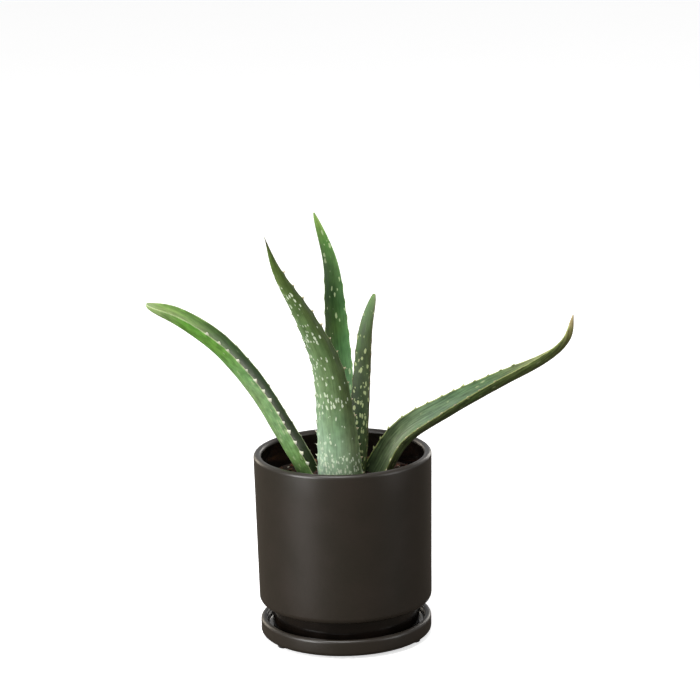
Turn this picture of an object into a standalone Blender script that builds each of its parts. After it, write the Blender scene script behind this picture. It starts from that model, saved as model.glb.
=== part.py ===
"""Potted aloe plant: five fleshy leaves in potting mix, in a footed ceramic pot on its saucer.

Metres, +Z up. The origin is on the table, under the middle of the whole plant's bounding box,
so the pot's axis stands a little to the left of it.
"""

import math
from dataclasses import dataclass

import bmesh
import bpy
from mathutils import Vector

COLLECTION_NAME = "potted_aloe"
CUTTER_COLLECTION_NAME = "cutters"

# Gap kept between pieces that touch in the real object.
GAP = 0.0003
MERGE_DISTANCE = 0.00001
SMOOTH_ANGLE = math.radians(35)

# The pot's axis, seen from the origin.
POT_AXIS_X = -0.0145

# Turned pieces.
TURN_STEPS = 56
ARC_STEPS = 4

# Foot pads under the saucer.
PAD_COUNT = 3
PAD_RADIUS = 0.0045
PAD_HEIGHT = 0.0020
PAD_RING_RADIUS = 0.0550
PAD_EDGE = 0.0004
PAD_TURN = math.radians(-146.5)
PAD_SIDES = 24

# Saucer.
SAUCER_RADIUS = 0.0628
SAUCER_BOTTOM = PAD_HEIGHT + GAP
SAUCER_RIM_TOP = 0.0146
SAUCER_WALL = 0.0048
SAUCER_FLOOR_TOP = 0.0072
SAUCER_LOWER_CORNER = 0.0032
SAUCER_INNER_CORNER = 0.0026

# Pot: a straight body with a rounded lip, above a narrower glazed foot.
POT_RIM_RADIUS = 0.0650
POT_BASE_RADIUS = 0.0634
POT_RIM_TOP = 0.1390
POT_BODY_BOTTOM = 0.0264
POT_WALL = 0.0056
POT_LOWER_CORNER = 0.0049
POT_FOOT_RADIUS = 0.0540
POT_FOOT_BOTTOM = SAUCER_FLOOR_TOP + GAP
POT_FOOT_EDGE = 0.0015
POT_FOOT_RING = 0.0060
POT_FOOT_RECESS = 0.0030
POT_FLOOR_TOP = 0.0170
POT_INNER_CORNER = 0.0090
DRAIN_RADIUS = 0.0065

# Potting mix.
SOIL_TOP = 0.1185
SOIL_EDGE_DROP = 0.0012
SOIL_MOUND = 0.0030

# Leaves. A leaf is a loft along its spine, from its buried base to its tip.
LEAF_STATIONS = 22
LEAF_BACK_STEPS = 8
LEAF_FACE_STEPS = 6
LEAF_EDGE_THICKNESS = 0.0010
LEAF_TIP_POSITION = 0.996
LEAF_STATION_CROWDING = 1.25
SOCKET_GAP = 0.0004
SOCKET_STATIONS = 5
SOCKET_BASE_POSITION = -0.003

# Short stem that the leaves grow from, buried in the potting mix.
STEM_TOP = 0.0985
STEM_LENGTH = 0.0180
STEM_TOP_RADIUS = 0.0130
STEM_FOOT_RADIUS = 0.0080
STEM_EDGE = 0.0020
STEM_SOCKET_REACH = 0.0075


@dataclass(frozen=True)
class Finish:
    """Colour and surface values of one material."""

    name: str
    colour: tuple
    roughness: float


@dataclass(frozen=True)
class Leaf:
    """One leaf: spine points about the pot's axis, widths and the way that its inner face looks."""

    name: str
    spine: tuple
    width: float
    fullness: float
    taper: float
    depth: float
    channel: float
    face_at_base: tuple
    face_at_tip: tuple


MATTE_GLAZE = Finish("matte_charcoal_glaze", (0.045, 0.042, 0.038), 0.55)
RUBBER = Finish("black_rubber", (0.012, 0.012, 0.012), 0.80)
POTTING_MIX = Finish("potting_mix", (0.035, 0.020, 0.012), 0.95)
LEAF_SKIN = Finish("leaf_skin", (0.090, 0.190, 0.085), 0.45)
STEM_SKIN = Finish("stem_skin", (0.200, 0.170, 0.090), 0.70)

LEAVES = (
    Leaf(
        name="leaf_front",
        spine=((-0.001, -0.012, 0.104), (-0.0018, -0.017, 0.126), (-0.0038, -0.024, 0.165),
               (-0.0088, -0.032, 0.209), (-0.0232, -0.040, 0.247), (-0.0420, -0.047, 0.283),
               (-0.0510, -0.052, 0.311)),
        width=0.035, fullness=1.6, taper=1.15, depth=0.0110, channel=0.0040,
        face_at_base=(0.10, 1.0, 0.10), face_at_tip=(0.30, 1.0, 0.30),
    ),
    Leaf(
        name="leaf_left",
        spine=((-0.0135, 0.005, 0.104), (-0.0210, 0.001, 0.1265), (-0.0370, -0.007, 0.1593),
               (-0.0565, -0.016, 0.1960), (-0.0825, -0.024, 0.2295), (-0.1115, -0.030, 0.2514),
               (-0.1365, -0.034, 0.2605)),
        width=0.0312, fullness=3.9, taper=0.50, depth=0.0120, channel=0.0045,
        face_at_base=(0.90, -0.10, 0.50), face_at_tip=(0.20, -0.10, 1.0),
    ),
    Leaf(
        name="leaf_right",
        spine=((0.0155, 0.001, 0.104), (0.0235, -0.002, 0.1253), (0.0415, -0.009, 0.1553),
               (0.0745, -0.019, 0.1785), (0.110, -0.030, 0.1997), (0.1425, -0.036, 0.2165),
               (0.1595, -0.039, 0.2300), (0.1655, -0.040, 0.247)),
        width=0.0285, fullness=1.9, taper=0.80, depth=0.0112, channel=0.0045,
        face_at_base=(-0.66, -0.66, 0.62), face_at_tip=(-0.45, 0.50, 0.85),
    ),
    Leaf(
        name="leaf_back",
        spine=((-0.002, 0.013, 0.104), (-0.0005, 0.014, 0.140), (0.0, 0.0135, 0.174),
               (-0.0010, 0.016, 0.205), (-0.0028, 0.019, 0.240), (-0.0057, 0.022, 0.275),
               (-0.017, 0.026, 0.312)),
        width=0.0208, fullness=2.5, taper=0.66, depth=0.0080, channel=0.0030,
        face_at_base=(0.0, -1.0, 0.10), face_at_tip=(0.30, -1.0, 0.10),
    ),
    Leaf(
        name="leaf_short",
        spine=((0.006, -0.001, 0.104), (0.010, 0.001, 0.130), (0.0128, 0.003, 0.165),
               (0.0156, 0.005, 0.200), (0.0190, 0.006, 0.230), (0.0258, 0.008, 0.2545)),
        width=0.0176, fullness=2.2, taper=0.50, depth=0.0050, channel=0.0015,
        face_at_base=(-0.70, -0.70, 0.10), face_at_tip=(-0.50, -0.80, 0.20),
    ),
)


def clear_scene():
    """Remove every object and make the collections for the parts and the cutters."""
    for item in list(bpy.data.objects):
        bpy.data.objects.remove(item, do_unlink=True)
    collections = []
    for name in (COLLECTION_NAME, CUTTER_COLLECTION_NAME):
        collection = bpy.data.collections.new(name)
        bpy.context.scene.collection.children.link(collection)
        collections.append(collection)
    return collections


def make_material(finish):
    """Make a Principled material from a finish, or return the one made before."""
    material = bpy.data.materials.get(finish.name)
    if material:
        return material
    material = bpy.data.materials.new(finish.name)
    material.use_nodes = True
    shader = material.node_tree.nodes["Principled BSDF"]
    shader.inputs["Base Color"].default_value = (*finish.colour, 1.0)
    shader.inputs["Roughness"].default_value = finish.roughness
    shader.inputs["Metallic"].default_value = 0.0
    material.diffuse_color = (*finish.colour, 1.0)
    return material


def add_object(name, mesh, collection, finish, parent):
    """Link a mesh as a named object with its own material under a parent."""
    item = bpy.data.objects.new(name, mesh)
    collection.objects.link(item)
    item.parent = parent
    mesh.materials.append(make_material(finish))
    mesh.shade_smooth()
    mesh.set_sharp_from_angle(angle=SMOOTH_ANGLE)
    return item


def arc(centre_r, centre_z, radius, start_degrees, end_degrees, steps=ARC_STEPS):
    """Points of an arc in the profile plane, as (r, z) pairs."""
    points = []
    for index in range(steps + 1):
        angle = math.radians(start_degrees + (end_degrees - start_degrees) * index / steps)
        points.append((centre_r + radius * math.cos(angle), centre_z + radius * math.sin(angle)))
    return points


def turned(name, profile, closed, collection, finish, parent):
    """Turn a profile of (r, z) points about the pot's axis with a Screw modifier."""
    mesh = bpy.data.meshes.new(name)
    shape = bmesh.new()
    points = [shape.verts.new((r, 0.0, z)) for r, z in profile]
    for first, second in zip(points, points[1:]):
        shape.edges.new((first, second))
    if closed:
        shape.edges.new((points[-1], points[0]))
    shape.to_mesh(mesh)
    shape.free()
    item = add_object(name, mesh, collection, finish, parent)
    screw = item.modifiers.new("turn", "SCREW")
    screw.axis = "Z"
    screw.angle = 2 * math.pi
    screw.steps = TURN_STEPS
    screw.render_steps = TURN_STEPS
    screw.use_merge_vertices = True
    screw.merge_threshold = MERGE_DISTANCE
    screw.use_smooth_shade = True
    return item


def build_pads(collection, parent):
    """Rubber foot pads, evenly spaced under the saucer's edge."""
    for index in range(PAD_COUNT):
        angle = PAD_TURN + 2 * math.pi * index / PAD_COUNT
        mesh = bpy.data.meshes.new(f"foot_pad_{index + 1}")
        shape = bmesh.new()
        bmesh.ops.create_cone(shape, cap_ends=True, segments=PAD_SIDES, radius1=PAD_RADIUS,
                              radius2=PAD_RADIUS, depth=PAD_HEIGHT)
        shape.to_mesh(mesh)
        shape.free()
        pad = add_object(f"foot_pad_{index + 1}", mesh, collection, RUBBER, parent)
        pad.location = (PAD_RING_RADIUS * math.cos(angle), PAD_RING_RADIUS * math.sin(angle),
                        PAD_HEIGHT / 2)
        edge = pad.modifiers.new("soft_edge", "BEVEL")
        edge.width = PAD_EDGE
        edge.segments = 1


def saucer_profile():
    """Saucer outline: rounded rim, upright wall, soft lower corner, then its floor."""
    lip = SAUCER_WALL / 2
    lip_z = SAUCER_RIM_TOP - lip
    inner = SAUCER_RADIUS - SAUCER_WALL
    profile = [(0.0, SAUCER_FLOOR_TOP)]
    profile += arc(inner - SAUCER_INNER_CORNER, SAUCER_FLOOR_TOP + SAUCER_INNER_CORNER,
                   SAUCER_INNER_CORNER, -90, 0)
    profile += arc(SAUCER_RADIUS - lip, lip_z, lip, 180, 0, 2 * ARC_STEPS)
    profile += arc(SAUCER_RADIUS - SAUCER_LOWER_CORNER, SAUCER_BOTTOM + SAUCER_LOWER_CORNER,
                   SAUCER_LOWER_CORNER, 0, -90)
    profile.append((0.0, SAUCER_BOTTOM))
    return profile


def pot_profile():
    """Pot outline: lip, body, recessed foot with its ring, drain hole and inside wall."""
    lip = POT_WALL / 2
    lip_z = POT_RIM_TOP - lip
    inner = POT_RIM_RADIUS - POT_WALL
    recess_z = POT_FOOT_BOTTOM + POT_FOOT_RECESS
    profile = arc(POT_RIM_RADIUS - lip, lip_z, lip, 180, 0, 2 * ARC_STEPS)
    profile += arc(POT_BASE_RADIUS - POT_LOWER_CORNER, POT_BODY_BOTTOM + POT_LOWER_CORNER,
                   POT_LOWER_CORNER, 0, -90)
    profile += arc(POT_FOOT_RADIUS + POT_FOOT_EDGE, POT_BODY_BOTTOM - POT_FOOT_EDGE,
                   POT_FOOT_EDGE, 90, 180)
    profile += arc(POT_FOOT_RADIUS - POT_FOOT_EDGE, POT_FOOT_BOTTOM + POT_FOOT_EDGE,
                   POT_FOOT_EDGE, 0, -90)
    profile.append((POT_FOOT_RADIUS - POT_FOOT_RING, POT_FOOT_BOTTOM))
    profile.append((POT_FOOT_RADIUS - POT_FOOT_RING - POT_FOOT_RECESS, recess_z))
    profile.append((DRAIN_RADIUS, recess_z))
    profile.append((DRAIN_RADIUS, POT_FLOOR_TOP))
    foot_inner = POT_FOOT_RADIUS - POT_WALL
    profile += arc(foot_inner - POT_INNER_CORNER, POT_FLOOR_TOP + POT_INNER_CORNER,
                   POT_INNER_CORNER, -90, 0)
    profile.append((foot_inner, POT_BODY_BOTTOM + POT_WALL))
    profile += arc(inner - POT_INNER_CORNER, POT_BODY_BOTTOM + POT_WALL + POT_INNER_CORNER,
                   POT_INNER_CORNER, -90, 0)
    return profile


def soil_profile():
    """Potting mix outline: a low mound that fills the pot's inside down to its floor."""
    inner = POT_RIM_RADIUS - POT_WALL - GAP
    foot_inner = POT_FOOT_RADIUS - POT_WALL - GAP
    corner = POT_INNER_CORNER - GAP
    profile = [(0.0, SOIL_TOP + SOIL_MOUND)]
    profile.append((0.5 * inner, SOIL_TOP + 0.4 * SOIL_MOUND))
    profile.append((0.85 * inner, SOIL_TOP))
    profile.append((inner, SOIL_TOP - SOIL_EDGE_DROP))
    shoulder_z = POT_BODY_BOTTOM + POT_WALL + POT_INNER_CORNER
    profile += arc(inner - corner, shoulder_z, corner, 0, -90)
    profile.append((foot_inner, shoulder_z - corner))
    profile += arc(foot_inner - corner, POT_FLOOR_TOP + POT_INNER_CORNER, corner, 0, -90)
    profile.append((0.0, POT_FLOOR_TOP + GAP))
    return profile


def spine_point(points, position):
    """Point on a smooth curve through the spine's points, at a position from 0 to 1."""
    spans = len(points) - 1
    place = position * spans
    index = max(0, min(int(place), spans - 1))
    part = place - index
    start, end = Vector(points[index]), Vector(points[index + 1])
    before = Vector(points[index - 1]) if index > 0 else start * 2 - end
    after = Vector(points[index + 2]) if index + 2 <= spans else end * 2 - start
    leave = (end - before) / 2
    arrive = (after - start) / 2
    cube, square = part ** 3, part ** 2
    return (start * (2 * cube - 3 * square + 1) + leave * (cube - 2 * square + part)
            + end * (3 * square - 2 * cube) + arrive * (cube - square))


def leaf_ring(leaf, position, grow):
    """One cross-section: a hollowed inner face and a round back that meet at two thin edges."""
    step = 0.5 / LEAF_STATIONS
    centre = spine_point(leaf.spine, position)
    along = (spine_point(leaf.spine, position + step)
             - spine_point(leaf.spine, position - step)).normalized()
    face = Vector(leaf.face_at_base).lerp(Vector(leaf.face_at_tip), position)
    side = along.cross(face).normalized()
    out = side.cross(along).normalized()
    size = (1.0 - max(position, 0.0) ** leaf.fullness) ** leaf.taper
    half = leaf.width / 2 * size + grow
    depth = leaf.depth * size + LEAF_EDGE_THICKNESS / 2 + 2 * grow
    channel = leaf.channel * size - LEAF_EDGE_THICKNESS / 2
    edges = centre + out * grow
    ring = []
    for index in range(LEAF_BACK_STEPS + 1):
        angle = math.pi * index / LEAF_BACK_STEPS
        ring.append(edges + side * (half * math.cos(angle)) - out * (depth * math.sin(angle)))
    for index in range(1, LEAF_FACE_STEPS):
        across = 2 * index / LEAF_FACE_STEPS - 1
        ring.append(edges + side * (half * across) - out * (channel * (1 - across ** 2)))
    return ring


def leaf_mesh(leaf, name, positions, grow):
    """Loft a leaf's cross-sections through the given positions on its spine."""
    shape = bmesh.new()
    rings = []
    for position in positions:
        rings.append([shape.verts.new(point) for point in leaf_ring(leaf, position, grow)])
    count = len(rings[0])
    for lower, upper in zip(rings, rings[1:]):
        for index in range(count):
            following = (index + 1) % count
            shape.faces.new((lower[index], lower[following], upper[following], upper[index]))
    shape.faces.new(rings[0])
    shape.faces.new(rings[-1])
    bmesh.ops.recalc_face_normals(shape, faces=shape.faces)
    mesh = bpy.data.meshes.new(name)
    shape.to_mesh(mesh)
    shape.free()
    return mesh


def as_cutter(item):
    """Hide a cutter from renders and draw it as wires."""
    item.hide_render = True
    item.display_type = "WIRE"


def build_leaves(collection, cutter_collection, parent):
    """Model the leaves, and a slightly larger cutter for each one's socket."""
    stations = []
    for index in range(LEAF_STATIONS + 1):
        left = 1 - index / LEAF_STATIONS
        stations.append(LEAF_TIP_POSITION * (1 - left ** LEAF_STATION_CROWDING))
    socket_stations = [SOCKET_BASE_POSITION] + stations[:SOCKET_STATIONS]
    for leaf in LEAVES:
        mesh = leaf_mesh(leaf, leaf.name, stations, 0.0)
        add_object(leaf.name, mesh, collection, LEAF_SKIN, parent)
        socket_name = f"{leaf.name}_socket"
        socket = leaf_mesh(leaf, socket_name, socket_stations, SOCKET_GAP)
        cutter = add_object(socket_name, socket, cutter_collection, POTTING_MIX, parent)
        as_cutter(cutter)


def stem_profile(head, grow):
    """Stem outline below its head: a taper to a smaller foot with a soft edge."""
    foot = STEM_TOP - STEM_LENGTH - grow
    foot_radius = STEM_FOOT_RADIUS + grow
    profile = list(head)
    profile += arc(foot_radius - STEM_EDGE, foot + STEM_EDGE, STEM_EDGE, 0, -90, 2)
    profile.append((0.0, foot))
    return profile


def build_stem(collection, cutter_collection, parent):
    """Model the buried stem and the cutter for its socket."""
    shoulder_z = STEM_TOP - STEM_EDGE
    head = [(0.0, STEM_TOP)] + arc(STEM_TOP_RADIUS - STEM_EDGE, shoulder_z, STEM_EDGE, 90, 0, 2)
    turned("stem", stem_profile(head, 0.0), False, collection, STEM_SKIN, parent)
    socket_top = STEM_TOP + STEM_SOCKET_REACH
    socket_radius = STEM_TOP_RADIUS + GAP
    head = [(0.0, socket_top), (socket_radius, socket_top), (socket_radius, shoulder_z)]
    socket = turned("stem_socket", stem_profile(head, GAP), False, cutter_collection,
                    POTTING_MIX, parent)
    as_cutter(socket)


def build_soil(collection, cutter_collection, parent):
    """Model the potting mix and cut the sockets of the leaves and the stem out of it."""
    soil = turned("potting_mix", soil_profile(), False, collection, POTTING_MIX, parent)
    cut = soil.modifiers.new("sockets", "BOOLEAN")
    cut.operation = "DIFFERENCE"
    cut.solver = "EXACT"
    cut.operand_type = "COLLECTION"
    cut.collection = cutter_collection


def main():
    """Build the plant, its pot and its saucer."""
    collection, cutter_collection = clear_scene()
    axis = bpy.data.objects.new("pot_axis", None)
    axis.location.x = POT_AXIS_X
    collection.objects.link(axis)
    build_pads(collection, axis)
    turned("saucer", saucer_profile(), False, collection, MATTE_GLAZE, axis)
    turned("pot", pot_profile(), True, collection, MATTE_GLAZE, axis)
    build_leaves(collection, cutter_collection, axis)
    build_stem(collection, cutter_collection, axis)
    build_soil(collection, cutter_collection, axis)


main()
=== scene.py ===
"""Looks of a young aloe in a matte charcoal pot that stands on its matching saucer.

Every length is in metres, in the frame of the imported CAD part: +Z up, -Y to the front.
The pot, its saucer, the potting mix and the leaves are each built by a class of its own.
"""

import logging
import math
import random
from dataclasses import dataclass, field
from enum import Enum
from functools import lru_cache
from typing import Any

import bmesh
import bpy
from mathutils import Matrix, Vector, noise


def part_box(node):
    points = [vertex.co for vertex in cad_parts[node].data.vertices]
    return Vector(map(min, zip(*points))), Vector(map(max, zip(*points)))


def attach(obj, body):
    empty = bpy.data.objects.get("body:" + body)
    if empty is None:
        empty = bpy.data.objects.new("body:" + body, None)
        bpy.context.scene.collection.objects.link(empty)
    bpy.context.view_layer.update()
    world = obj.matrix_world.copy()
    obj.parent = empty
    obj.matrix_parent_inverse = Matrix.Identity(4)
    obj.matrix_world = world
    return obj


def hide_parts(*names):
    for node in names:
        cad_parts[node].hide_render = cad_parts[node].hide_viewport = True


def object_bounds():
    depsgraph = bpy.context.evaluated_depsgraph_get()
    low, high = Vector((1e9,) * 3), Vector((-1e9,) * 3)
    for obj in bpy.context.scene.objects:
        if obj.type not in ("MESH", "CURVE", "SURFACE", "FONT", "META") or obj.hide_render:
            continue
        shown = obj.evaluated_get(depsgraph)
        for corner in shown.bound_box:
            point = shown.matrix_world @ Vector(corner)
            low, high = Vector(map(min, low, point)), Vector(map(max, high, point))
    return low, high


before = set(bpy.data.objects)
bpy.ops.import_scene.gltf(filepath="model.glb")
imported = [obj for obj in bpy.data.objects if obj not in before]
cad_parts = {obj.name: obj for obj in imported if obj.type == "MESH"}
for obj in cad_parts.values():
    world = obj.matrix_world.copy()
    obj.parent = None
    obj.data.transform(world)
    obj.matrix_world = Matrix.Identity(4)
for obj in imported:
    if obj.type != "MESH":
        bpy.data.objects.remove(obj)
CAD_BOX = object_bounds()
POT_LOW, POT_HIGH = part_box("pot")
POT_AXIS = ((POT_LOW.x + POT_HIGH.x) / 2, (POT_LOW.y + POT_HIGH.y) / 2)

LOG = logging.getLogger("potted_aloe")

ROOT_BODY = "root"
BITS_SEED = 7
SKIN_CREASE = 48.0

# A tooth's rings, in tooth heights: rise from the margin, girth, and share of horn colour.
TOOTH_LEVELS = ((-0.45, 1.0, 0.0), (0.15, 0.74, 0.35), (0.6, 0.36, 0.8), (0.9, 0.12, 1.0))
TOOTH_LEAN = 0.55
TOOTH_LENGTH = 0.80
TOOTH_BREADTH = 0.32
TOOTH_POINT = (1.05, 0.62)

# Where leaves leave the mix: steps up the lower part of a spine, and room per leaf width.
ROOM_STEPS = 40
STEPS_PER_SPINE = 100
ROOM_PER_WIDTH = 0.42

Ring = list[Vector]
Profile = list[tuple[float, float]]


@lru_cache(maxsize=None)
def linear(tone: str) -> tuple[float, float, float, float]:
    """Turn a display colour such as "#8aa283" into linear light.

    Args:
        tone: Six hexadecimal digits after a hash sign.

    Returns:
        Red, green, blue and an opaque alpha.
    """
    parts = [int(tone[place:place + 2], 16) / 255 for place in (1, 3, 5)]
    low = [part / 12.92 for part in parts]
    high = [((part + 0.055) / 1.055) ** 2.4 for part in parts]
    mixed = [dark if part <= 0.04045 else light for part, dark, light in zip(parts, low, high)]
    return (mixed[0], mixed[1], mixed[2], 1.0)


def blended(first: tuple, second: tuple, share: float) -> tuple:
    """Mix two colours of equal length by a share from 0 to 1."""
    return tuple(a + (b - a) * share for a, b in zip(first, second))


def eased(value: float) -> float:
    """Clamp a value to 0..1 and ease it in and out."""
    held = max(0.0, min(1.0, value))
    return held * held * (3 - 2 * held)


def arc(centre: tuple[float, float], radius: float, start: float, end: float,
        steps: int) -> Profile:
    """Points of an arc in the turning plane.

    Args:
        centre: Distance from the axis and height of the arc's centre.
        radius: Radius of the arc.
        start: First angle in degrees, from the outward direction.
        end: Last angle in degrees.
        steps: Number of spans.

    Returns:
        The points from start to end, both ends included.
    """
    points = []
    for index in range(steps + 1):
        angle = math.radians(start + (end - start) * index / steps)
        points.append((centre[0] + radius * math.cos(angle),
                       centre[1] + radius * math.sin(angle)))
    return points


def around(count: int, radius: float) -> Profile:
    """Evenly spaced places on a circle about the pot's axis, given from that axis."""
    turns = [2 * math.pi * index / count for index in range(count)]
    return [(radius * math.cos(turn), radius * math.sin(turn)) for turn in turns]


def stood(name: str, data: Any) -> bpy.types.Object:
    """Make an object of a mesh, lamp or camera and put it in the scene."""
    item = bpy.data.objects.new(name, data)
    bpy.context.scene.collection.objects.link(item)
    return item


def mesh_from(name: str, shape: bmesh.types.BMesh) -> bpy.types.Mesh:
    """Turn a mesh in the making into mesh data, and free it."""
    mesh = bpy.data.meshes.new(name)
    shape.to_mesh(mesh)
    shape.free()
    return mesh


# ---------------------------------------------------------------------------------------
# Finishes


class NodeBoard:
    """One node material in the making: adds nodes, joins them and keeps its shader."""

    def __init__(self, name: str) -> None:
        """Make an empty Principled material.

        Args:
            name: Name of the material.
        """
        self.material = bpy.data.materials.new(name)
        self.material.use_nodes = True
        self.nodes = self.material.node_tree.nodes
        self.links = self.material.node_tree.links
        self.shader = self.nodes["Principled BSDF"]

    def feed(self, socket: bpy.types.NodeSocket, value: Any) -> None:
        """Join a socket to another one, or set its value."""
        if isinstance(value, bpy.types.NodeSocket):
            self.links.new(value, socket)
        else:
            socket.default_value = value

    def set(self, **values: Any) -> None:
        """Feed the shader's inputs, named with _ for a space."""
        for name, value in values.items():
            self.feed(self.shader.inputs[name.replace("_", " ")], value)

    def place(self) -> bpy.types.NodeSocket:
        """Coordinates on the piece in metres."""
        return self.nodes.new("ShaderNodeTexCoord").outputs["Object"]

    def attribute(self, name: str, output: str) -> bpy.types.NodeSocket:
        """An attribute that the mesh carries."""
        node = self.nodes.new("ShaderNodeAttribute")
        node.attribute_name = name
        return node.outputs[output]

    def math(self, operation: str, first: Any, second: Any) -> bpy.types.NodeSocket:
        """A math node on two values."""
        node = self.nodes.new("ShaderNodeMath")
        node.operation = operation
        self.feed(node.inputs[0], first)
        self.feed(node.inputs[1], second)
        return node.outputs[0]

    def stretch(self, vector: Any, scale: tuple) -> bpy.types.NodeSocket:
        """Scale a vector by a factor along each of its axes."""
        node = self.nodes.new("ShaderNodeMapping")
        self.feed(node.inputs["Vector"], vector)
        node.inputs["Scale"].default_value = scale
        return node.outputs[0]

    def noise(self, vector: Any, scale: float = 1.0, detail: float = 2.0,
              roughness: float = 0.5) -> bpy.types.NodeSocket:
        """Fractal noise from 0 to 1.

        Args:
            vector: Where the noise is read.
            scale: Repeats in one metre.
            detail: Number of finer layers.
            roughness: Strength of the finer layers.

        Returns:
            The noise value's socket.
        """
        node = self.nodes.new("ShaderNodeTexNoise")
        self.feed(node.inputs["Vector"], vector)
        node.inputs["Scale"].default_value = scale
        node.inputs["Detail"].default_value = detail
        node.inputs["Roughness"].default_value = roughness
        return node.outputs["Fac"]

    def spread(self, value: Any, low: Any, high: Any, to_low: float = 0.0,
               to_high: float = 1.0) -> bpy.types.NodeSocket:
        """Ease a value from one range into another.

        Args:
            value: The value to change.
            low: Where the first range starts.
            high: Where the first range ends.
            to_low: Where the second range starts.
            to_high: Where the second range ends.

        Returns:
            The result's socket.
        """
        node = self.nodes.new("ShaderNodeMapRange")
        node.interpolation_type = "SMOOTHSTEP"
        self.feed(node.inputs["Value"], value)
        self.feed(node.inputs["From Min"], low)
        self.feed(node.inputs["From Max"], high)
        self.feed(node.inputs["To Min"], to_low)
        self.feed(node.inputs["To Max"], to_high)
        return node.outputs[0]

    def mix(self, share: Any, first: Any, second: Any) -> bpy.types.NodeSocket:
        """Mix two colours.

        Args:
            share: How much of the second colour shows.
            first: The first colour.
            second: The second colour.

        Returns:
            The mixed colour's socket.
        """
        node = self.nodes.new("ShaderNodeMix")
        node.data_type = "RGBA"
        self.feed(node.inputs[0], share)
        self.feed(node.inputs[6], first)
        self.feed(node.inputs[7], second)
        return node.outputs[2]

    def shade(self, colour: Any, hue: Any, saturation: float, value: Any) -> Any:
        """Shift a colour's hue (0.5 keeps it), saturation and value."""
        node = self.nodes.new("ShaderNodeHueSaturation")
        self.feed(node.inputs["Color"], colour)
        self.feed(node.inputs["Hue"], hue)
        node.inputs["Saturation"].default_value = saturation
        self.feed(node.inputs["Value"], value)
        return node.outputs[0]

    def cells(self, vector: Any, scale: float, flat: bool) -> tuple:
        """Voronoi cells.

        Args:
            vector: Where the cells are read.
            scale: Cells in one unit of the vector.
            flat: True for cells in the plane of X and Y alone.

        Returns:
            Sockets of the distance to the cell's point, and two random numbers of the cell.
        """
        node = self.nodes.new("ShaderNodeTexVoronoi")
        node.voronoi_dimensions = "2D" if flat else "3D"
        self.feed(node.inputs["Vector"], vector)
        node.inputs["Scale"].default_value = scale
        split = self.nodes.new("ShaderNodeSeparateColor")
        self.links.new(node.outputs["Color"], split.inputs[0])
        return node.outputs["Distance"], split.outputs[0], split.outputs[1]

    def bump(self, height: Any, strength: float, distance: float) -> None:
        """Raise the shader's surface by a height.

        Args:
            height: Height from 0 to 1.
            strength: How strongly it shows.
            distance: Height of 1 in metres.
        """
        node = self.nodes.new("ShaderNodeBump")
        node.inputs["Strength"].default_value = strength
        node.inputs["Distance"].default_value = distance
        self.feed(node.inputs["Height"], height)
        self.set(Normal=node.outputs["Normal"])


@dataclass(frozen=True)
class MatteGlaze:
    """Matte charcoal glaze: a soft sheen, faint clouds and fine dark specks."""

    name: str = "charcoal_matte_glaze"
    tone: str = "#29251f"
    cloud_tone: str = "#2c2620"
    roughness: float = 0.33
    speck_size: float = 0.0009

    def build(self) -> bpy.types.Material:
        """Make the material."""
        board = NodeBoard(self.name)
        place = board.place()
        cloud = board.noise(place, 34.0, 4.0, 0.55)
        grain = board.noise(place, 1400.0, 3.0, 0.6)
        distance, chance, _ = board.cells(place, 1 / self.speck_size, False)
        speck = board.math("MULTIPLY", board.spread(distance, 0.34, 0.18),
                           board.spread(chance, 0.86, 0.90))
        colour = board.mix(board.spread(cloud, 0.3, 0.7), linear(self.tone),
                           linear(self.cloud_tone))
        colour = board.shade(colour, 0.5, 1.0, board.spread(grain, 0.2, 0.8, 0.90, 1.10))
        colour = board.mix(board.math("MULTIPLY", speck, 0.45), colour, linear("#1a1715"))
        rough = board.spread(cloud, 0.25, 0.75, self.roughness - 0.03, self.roughness + 0.04)
        rough = board.math("ADD", rough, board.math("MULTIPLY", grain, 0.05))
        board.set(Base_Color=colour, Roughness=rough, IOR=1.5)
        height = board.math("ADD", board.math("MULTIPLY", grain, 0.5),
                            board.math("MULTIPLY", cloud, 0.5))
        board.bump(height, 0.06, 0.0004)
        return board.material


@dataclass(frozen=True)
class GlossGlaze:
    """Glossy brown-black glaze, with pooled depth and a gently wavy surface."""

    name: str = "brown_black_gloss_glaze"
    tone: str = "#0c0907"
    pooled_tone: str = "#150f0b"
    roughness: float = 0.12

    def build(self) -> bpy.types.Material:
        """Make the material."""
        board = NodeBoard(self.name)
        place = board.place()
        pool = board.noise(place, 60.0, 3.0, 0.5)
        pinhole, chance, _ = board.cells(place, 420.0, False)
        pit = board.math("MULTIPLY", board.spread(pinhole, 0.20, 0.08),
                         board.spread(chance, 0.90, 0.93))
        colour = board.mix(board.spread(pool, 0.35, 0.7), linear(self.tone),
                           linear(self.pooled_tone))
        rough = board.spread(pool, 0.3, 0.7, self.roughness, self.roughness + 0.08)
        board.set(Base_Color=colour, Roughness=rough, IOR=1.52)
        board.bump(board.math("SUBTRACT", pool, board.math("MULTIPLY", pit, 0.6)), 0.12, 0.0006)
        return board.material


@dataclass(frozen=True)
class BareClay:
    """Unglazed dark stoneware on the ring that the pot stands on."""

    name: str = "bare_dark_stoneware"
    tone: str = "#4b433b"

    def build(self) -> bpy.types.Material:
        """Make the material."""
        board = NodeBoard(self.name)
        place = board.place()
        grain = board.noise(place, 1800.0, 5.0, 0.7)
        cloud = board.noise(place, 90.0, 2.0)
        value = board.spread(board.math("ADD", grain, board.math("MULTIPLY", cloud, 0.5)),
                             0.4, 1.1, 0.75, 1.2)
        board.set(Base_Color=board.shade(linear(self.tone), 0.5, 1.0, value),
                  Roughness=board.spread(grain, 0.2, 0.8, 0.82, 0.95))
        board.bump(grain, 0.35, 0.0003)
        return board.material


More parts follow.
